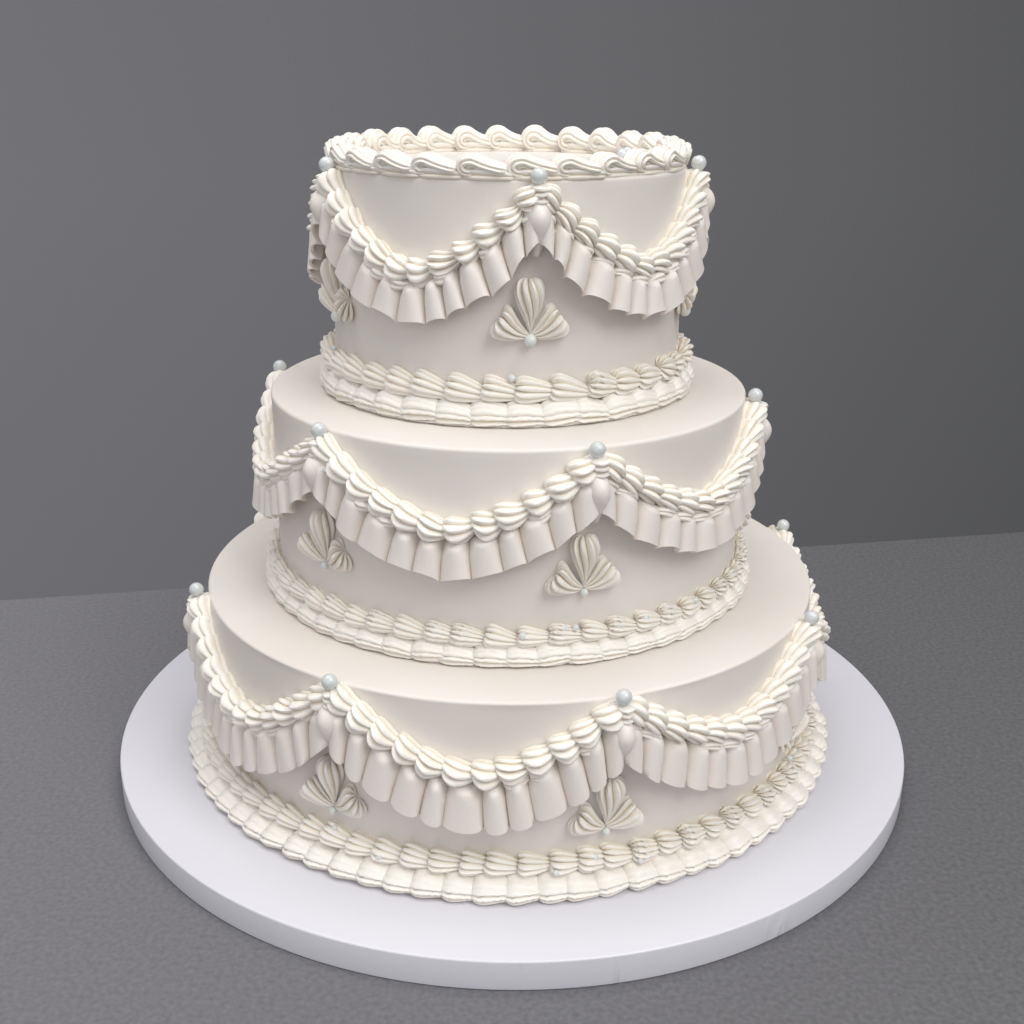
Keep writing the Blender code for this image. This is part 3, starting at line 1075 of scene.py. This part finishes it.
@dataclass(frozen=True)
class BaseBorder:
    """The two rows of shells round a tier's foot."""

    tier: Tier
    seed: int
    kinds: int = 6
    upper_share: float = 0.68  # height of a row's middle, as a share of the border's
    lower_share: float = 0.2
    lower_shift: float = 0.37  # of a shell, past the one above
    upper_tilt: float = math.radians(-10.0)  # the fans open up and to the left

    def upper(self, rng: Random, pitch: float) -> Mesh:
        """A shell of the upper row, a fan of ribs that meet at its lower right."""
        return Stroke(
            length=pitch * 1.42 * rng.uniform(0.96, 1.06),
            half_width=self.tier.border_height * rng.uniform(0.28, 0.31),
            depth=self.tier.upper_depth * rng.uniform(0.92, 0.99),
            ribs=rng.choice((8, 9)), groove=rng.uniform(0.22, 0.28),
            fullest=rng.uniform(0.18, 0.26), blunt=0.3, lift=0.3, ease=0.3,
            bow=rng.uniform(-0.3, 0.6) * MM, shade_weight=0.5, front=142.0, scallop=0.18).shape()

    def lower(self, rng: Random, pitch: float) -> Mesh:
        """A shell of the lower row, domed above and ribbed along its foot."""
        return Stroke(
            length=pitch * 1.34 * rng.uniform(0.97, 1.04),
            half_width=self.tier.border_height * rng.uniform(0.35, 0.38),
            depth=self.tier.border_depth * rng.uniform(0.93, 0.99),
            ribs=9, groove=rng.uniform(0.24, 0.3), fullest=rng.uniform(0.34, 0.42), blunt=0.46,
            tail=rng.uniform(0.62, 0.7), dip=0.4, bow=-0.6 * MM, shade_weight=0.5, plain=0.75,
            scallop=0.03).shape()

    def build(self) -> None:
        """Pipe both rows and add them."""
        tier = self.tier
        rng = Random(self.seed)
        count = tier.border_shells
        pitch = math.tau * tier.radius / count
        rows = {"lower": (self.lower, self.lower_share, 0.0, self.lower_shift),
                "upper": (self.upper, self.upper_share, self.upper_tilt, 0.0)}
        shells = {row: [made(rng, pitch) for _ in range(self.kinds)]
                  for row, (made, *_) in rows.items()}
        for row, (_, share, lean, shift) in rows.items():
            batch = Batch()
            for index in range(count):
                azimuth = math.tau * (index + shift + rng.uniform(-0.08, 0.08)) / count
                height = share * tier.border_height + rng.uniform(-0.3, 0.3) * MM
                size = (rng.uniform(0.95, 1.06), rng.uniform(0.95, 1.05), rng.uniform(0.96, 1.01))
                tilt = lean + uneven(rng, 5.0)
                batch.add(rng.choice(shells[row]), tier.on_wall(azimuth, height, tilt, 0.0, size))
            add_piece(f"shell_row_{row}_{tier.name}", self.lifted(batch), Coat.PIPING,
                      f"border_{row}_{tier.name}")

    def lifted(self, batch: Batch) -> Mesh:
        """The row's mesh, pressed flat where it would sink below the tier's foot."""
        floor = self.tier.foot + GAP
        for vertex in batch.bm.verts:
            vertex.co.z = max(vertex.co.z, floor)
        return batch.mesh()


@dataclass(frozen=True)
class TopBorder:
    """The ring of curls round the top of the cake."""

    tier: Tier
    seed: int
    curls: int = 26
    first: float = math.radians(3.8)  # azimuth of the arch nearest the front
    overhang: float = 2.3 * MM
    width: float = 14.5 * MM
    height: float = 11.4 * MM
    climb: float = 0.15  # how much taller the back ones are, and the front ones lower
    core_height: float = 0.66  # of the ribbed body under a curl, as a share of the height
    core_share: float = 0.6  # where it lies, as a share of the pitch
    kinds: int = 6

    def curl(self, rng: Random, hand: Hand, pitch: float) -> Mesh:
        """One kind of curl."""
        return Curl(pitch, self.height * rng.uniform(0.93, 0.99),
                    self.width / 2 * rng.uniform(0.9, 0.98), groove=rng.uniform(0.17, 0.23),
                    turn=rng.uniform(232.0, 258.0)).shape(hand)

    def build(self) -> None:
        """Pipe the ring and add it."""
        rng = Random(self.seed)
        middle = self.tier.radius + self.overhang - self.width / 2
        pitch = math.tau * middle / self.curls
        curls = {hand: [self.curl(rng, hand, pitch) for _ in range(self.kinds)] for hand in Hand}
        core = Stroke(length=pitch * 1.2, half_width=5.8 * MM, depth=self.height * self.core_height,
                      ribs=7, groove=0.24, fullest=0.4, tail=0.6, lift=0.25, front=128.0)
        cores = {hand: core.shape(hand) for hand in Hand}
        batch = Batch()
        for index in range(self.curls):
            azimuth = self.first + math.tau * (index + rng.uniform(-0.04, 0.04)) / self.curls
            hand = Hand.TAIL_LEFT if math.cos(azimuth) < 0 else Hand.TAIL_RIGHT
            place = self.stand(azimuth, middle, pitch, hand, rng)
            batch.add(rng.choice(curls[hand]), place)
            beside = Vector((self.core_share * pitch * hand.value, 0.0, 0.0))
            batch.add(cores[hand], place @ Matrix.Translation(beside))
        add_piece("curl_ring", batch.mesh(), Coat.PIPING, "top_border")

    def stand(self, azimuth: float, middle: float, pitch: float, hand: Hand,
              rng: Random) -> Matrix:
        """The matrix that sets a curl on the rim, with its rope rolling along it."""
        level, outward = along_and_out(azimuth)
        start = Vector((self.tier.centre.x, self.tier.centre.y, self.tier.foot))
        start += outward * middle + Vector((0, 0, self.tier.height + GAP))
        start -= level * pitch * Curl.eye[0] * hand.value
        sway = Matrix.Rotation(uneven(rng, 5.0), 4, "Z")
        size = rng.uniform(0.97, 1.02)
        tall = size * (1.0 - self.climb * math.cos(azimuth))
        turn = axes_at(start, level, -outward, Vector((0, 0, 1)))
        return turn @ sway @ Matrix.Diagonal((size, size, tall, 1.0))


@dataclass(frozen=True)
class Fleur:
    """A motif of three fanned shells that meet at a small bead."""

    tier: Tier
    seed: int
    bead: float  # its radius
    lead: float = math.radians(1.5)  # left of the peak
    bead_out: float = 2.4 * MM
    side_tilt: float = math.radians(36.0)
    side_start: float = 0.6 * MM  # from the bead to a side petal
    tall_start: float = 2.5 * MM  # and to the upright one
    tall_out: float = 0.8 * MM

    def build(self) -> None:
        """Pipe the tier's motifs and add each, with its bead."""
        tier = self.tier
        rng = Random(self.seed)
        for number, peak in enumerate(tier.peaks, start=1):
            azimuth = peak - self.lead
            batch = Batch()
            for swing, curve in ((self.side_tilt, -1.0), (math.pi - self.side_tilt, 1.0)):
                swing += uneven(rng, 4.0)
                place = self.petal_place(azimuth, swing, self.side_start, 0.0)
                batch.add(self.side(rng, curve), place)
            upright = math.pi / 2 + uneven(rng, 5.0)
            place = self.petal_place(azimuth, upright, self.tall_start, self.tall_out)
            batch.add(self.tall(rng), place)
            add_piece(f"petals_{tier.name}_{number}", batch.mesh(), Coat.PIPING,
                      f"fleur_{tier.name}_{number}")
            middle = tier.spot(azimuth, tier.fleur_height, self.bead_out)
            add_piece(f"petal_bead_{tier.name}_{number}", ball(self.bead, middle), Coat.MINT)

    def petal_place(self, azimuth: float, swing: float, start: float, out: float) -> Matrix:
        """The matrix of a petal whose thin end points at the bead."""
        foot = self.tier.on_wall(azimuth, self.tier.fleur_height, swing, out)
        return foot @ Matrix.Translation((start, 0.0, 0.0)) @ Matrix.Rotation(math.pi, 4, "Z")

    def side(self, rng: Random, curve: float) -> Mesh:
        """A side petal with its tail at the origin, whose ends curve up."""
        return self.with_tail_at_origin(Stroke(
            length=14.6 * MM, half_width=7.8 * MM, depth=7.4 * MM, ribs=7, rings=16, groove=0.42,
            fullest=rng.uniform(0.2, 0.26), blunt=0.3, ease=0.0, tail=0.14, lift=0.2, front=118.0,
            bow=1.8 * MM * curve, scallop=0.22, shade_weight=0.1))

    def tall(self, rng: Random) -> Mesh:
        """The upright petal with its tail at the origin."""
        return self.with_tail_at_origin(Stroke(
            length=23.0 * MM, half_width=6.5 * MM, depth=7.8 * MM, ribs=6, rings=20, groove=0.36,
            fullest=rng.uniform(0.26, 0.3), ease=0.7, tail=0.1, lift=0.25, front=125.0,
            twist=rng.uniform(45.0, 70.0), scallop=0.1, shade_weight=0.1))

    @staticmethod
    def with_tail_at_origin(stroke: Stroke) -> Mesh:
        """The stroke, moved so that its tail ends at the origin."""
        mesh = stroke.shape()
        mesh.transform(Matrix.Translation((-stroke.length * (1.0 - Stroke.HEAD_SHARE), 0, 0)))
        return mesh


class Pearls:
    """The sugar pearls: one on each peak, and the loose ones on top."""

    def build(self) -> None:
        """Model the pearls where their solids are and add them."""
        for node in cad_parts:
            if node.startswith("pearl_"):
                low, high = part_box(node)
                pearl = ball((high.z - low.z) / 2, (low + high) / 2)
                add_piece(f"sugar_{node}", pearl, Coat.PEARL, node)


@dataclass(frozen=True)
class Dragees:
    """The tiny sugar beads dropped along a tier's border."""

    tier: Tier
    seed: int
    seen: tuple[Range, ...]  # azimuth in degrees and height, of those in front
    hidden: int  # how many more lie round the sides and the back
    radii: Range = (1.2 * MM, 1.7 * MM)
    sides: Range = (75.0, 300.0)  # where the hidden ones lie, degrees
    set_in: float = 0.85  # how far out they lie, as a share of the row's depth

    def build(self) -> None:
        """Set the beads in the joints of the upper row and add them."""
        rng = Random(self.seed)
        heights = [height for _, height in self.seen]
        step = (self.sides[1] - self.sides[0]) / self.hidden
        more = [(self.sides[0] + step * (index + rng.random()), rng.choice(heights))
                for index in range(self.hidden)]
        half = self.tier.border_height / 2
        batch = Batch()
        for azimuth, height in (*self.seen, *more):
            bulge = math.sqrt(max(0.1, 1.0 - ((height - half) / half) ** 2))
            out = self.set_in * self.tier.upper_depth * bulge
            spot = self.tier.spot(math.radians(azimuth), height, out)
            batch.add(ball(rng.uniform(*self.radii), spot), ORIGIN)
        add_piece(f"dragees_{self.tier.name}", batch.mesh(), Coat.BEAD)


@dataclass(frozen=True)
class DrumBoard:
    """The foil-covered drum under the cake."""

    edge_round: float = 0.9 * MM
    steps: int = 192
    rings: int = 5  # on top

    def build(self) -> None:
        """Model the drum and add it."""
        low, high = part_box("board")
        radius = (high.x - low.x) / 2
        thick = high.z - low.z
        edge = radius - self.edge_round
        inner = [(edge * ring / self.rings, thick) for ring in range(self.rings)]
        upper = arc((edge, thick - self.edge_round), self.edge_round, 90.0, 0.0, 4)
        lower = arc((edge, self.edge_round), self.edge_round, 0.0, -90.0, 4)
        bm = turned([*inner, *upper, *lower, (0.0, 0.0)], self.steps)
        add_piece("foil_drum", mesh_from(bm), Coat.FOIL, "board")


# Studio


@dataclass(frozen=True)
class Softbox:
    """A square area light aimed at the cake."""

    name: str
    place: Triple
    side: float
    power: float
    colour: Colour

    def build(self, target: Vector) -> None:
        """Add the light."""
        light = bpy.data.lights.new(self.name, "AREA")
        light.shape = "SQUARE"
        light.size = self.side
        light.energy = self.power
        light.color = self.colour
        lamp = linked(self.name, light)
        lamp.location = self.place
        lamp.rotation_mode = "QUATERNION"
        lamp.rotation_quaternion = (target - lamp.location).to_track_quat("-Z", "Y")


@dataclass(frozen=True)
class Studio:
    """The speckled table and backdrop with painted light falloff from left to right, the soft lights
    and the camera.
    """

    camera_place: Triple = (0.0, -594.8 * MM, 343.1 * MM)
    pitch: float = math.radians(20.14)
    yaw: float = math.radians(-0.10)
    roll: float = math.radians(0.43)
    focal_pixels: float = 1243.0
    table_edge: Range = (228.0 * MM, 0.195)  # where it crosses x = 0, and its slope
    table_reach: float = 4.0
    backdrop_depth: float = 3.0
    world_colour: tuple[float, ...] = (0.95, 0.97, 1.0, 1.0)
    world_strength: float = 0.55
    target: Triple = (0.0, 0.0, 0.15)
    lights: tuple[Softbox, ...] = (
        Softbox("key", (1.0, -1.2, 1.8), 1.2, 23.0, (1.0, 0.985, 0.96)),
        Softbox("overhead", (-0.3, 0.0, 2.0), 1.6, 19.0, (1.0, 0.99, 0.975)),
        Softbox("fill", (-0.7, -2.2, 0.6), 1.4, 6.5, (0.98, 0.99, 1.0)),
    )

    def build(self) -> None:
        """Add everything round the cake."""
        self.ground()
        self.world()
        for light in self.lights:
            light.build(Vector(self.target))
        self.camera()
        bpy.context.scene.view_settings.view_transform = "Standard"

    def ground(self) -> None:
        """The table, whose edge runs just behind the cake, and the wall far behind it."""
        reach = self.table_reach
        cross, slope = self.table_edge
        table = [(-reach, -reach, 0.0), (reach, -reach, 0.0), (reach, cross + slope * reach, 0.0),
                 (-reach, cross - slope * reach, 0.0)]
        deep = self.backdrop_depth
        wall = [(-2 * reach, deep, -reach), (2 * reach, deep, -reach), (2 * reach, deep, reach),
                (-2 * reach, deep, reach)]
        for name, corners, finish in (("studio_table", table, TABLE),
                                      ("studio_backdrop", wall, BACKDROP)):
            bm = bmesh.new()
            bm.faces.new([bm.verts.new(corner) for corner in corners])
            mesh = mesh_from(bm)
            mesh.materials.append(finish.make())
            linked(name, mesh)

    def world(self) -> None:
        """Plain soft light from all round."""
        world = bpy.data.worlds.new("soft_room")
        world.use_nodes = True
        backdrop = world.node_tree.nodes["Background"]
        backdrop.inputs["Color"].default_value = self.world_colour
        backdrop.inputs["Strength"].default_value = self.world_strength
        bpy.context.scene.world = world

    def camera(self) -> None:
        """The camera at the picture's viewpoint."""
        data = bpy.data.cameras.new("camera")
        data.sensor_width = SENSOR
        data.lens = self.focal_pixels / PHOTO_SIDE * SENSOR
        camera = linked("camera", data)
        forward = Vector((math.sin(self.yaw) * math.cos(self.pitch),
                          math.cos(self.yaw) * math.cos(self.pitch), -math.sin(self.pitch)))
        level = Vector((math.cos(self.yaw), -math.sin(self.yaw), 0.0))
        upward = level.cross(forward)
        right = level * math.cos(self.roll) + upward * math.sin(self.roll)
        up = upward * math.cos(self.roll) - level * math.sin(self.roll)
        camera.matrix_world = axes_at(self.camera_place, right, up, -forward)
        bpy.context.scene.camera = camera


TIERS = (
    Tier("bottom", swag_low=56.3 * MM, swag_lean=3.5 * MM, ruffle_drop=16.8 * MM,
         ruffle_rise=-0.7 * MM, fleur_height=24.8 * MM, border_shells=78,
         border_height=18.0 * MM, border_depth=17.0 * MM, upper_depth=10.6 * MM),
    Tier("middle", swag_low=60.6 * MM, swag_lean=0.5 * MM, ruffle_drop=15.2 * MM,
         ruffle_rise=2.6 * MM, fleur_height=31.5 * MM, border_shells=55,
         border_height=18.0 * MM, border_depth=8.6 * MM, upper_depth=7.4 * MM),
    Tier("top", swag_low=64.0 * MM, swag_lean=0.0, ruffle_drop=15.4 * MM,
         ruffle_rise=2.9 * MM, fleur_height=37.0 * MM, border_shells=36,
         border_height=22.0 * MM, border_depth=9.0 * MM, upper_depth=7.8 * MM),
)
FLEUR_BEADS = {"bottom": 1.7 * MM, "middle": 1.7 * MM, "top": 2.7 * MM}
DRAGEES = {
    "bottom": (((-28.6, 17.3 * MM), (-19.7, 13.2 * MM), (7.4, 11.9 * MM), (13.6, 15.7 * MM),
                (20.8, 11.6 * MM), (60.4, 17.5 * MM)), 8),
    "middle": (((3.5, 14.6 * MM), (12.6, 16.4 * MM), (14.6, 16.4 * MM), (23.9, 15.0 * MM),
                (30.6, 15.4 * MM), (45.6, 15.6 * MM)), 8),
    "top": (((1.8, 21.0 * MM),), 3),
}


def main() -> None:
    """Dress the cake from the drum up, then set the studio round it."""
    logging.basicConfig(level=logging.INFO, format="%(message)s")
    DrumBoard().build()
    for number, tier in enumerate(TIERS, start=1):
        TierIcing(tier).build()
        Garland(tier, seed=10 * number).build()
        Ruffle(tier, seed=10 * number + 1).build()
        BaseBorder(tier, seed=10 * number + 2).build()
        Fleur(tier, 10 * number + 3, FLEUR_BEADS[tier.name]).build()
        Dragees(tier, 10 * number + 4, *DRAGEES[tier.name]).build()
    TopBorder(TIERS[-1], seed=7).build()
    Pearls().build()
    Studio().build()


if __name__ == "__main__":
    main()
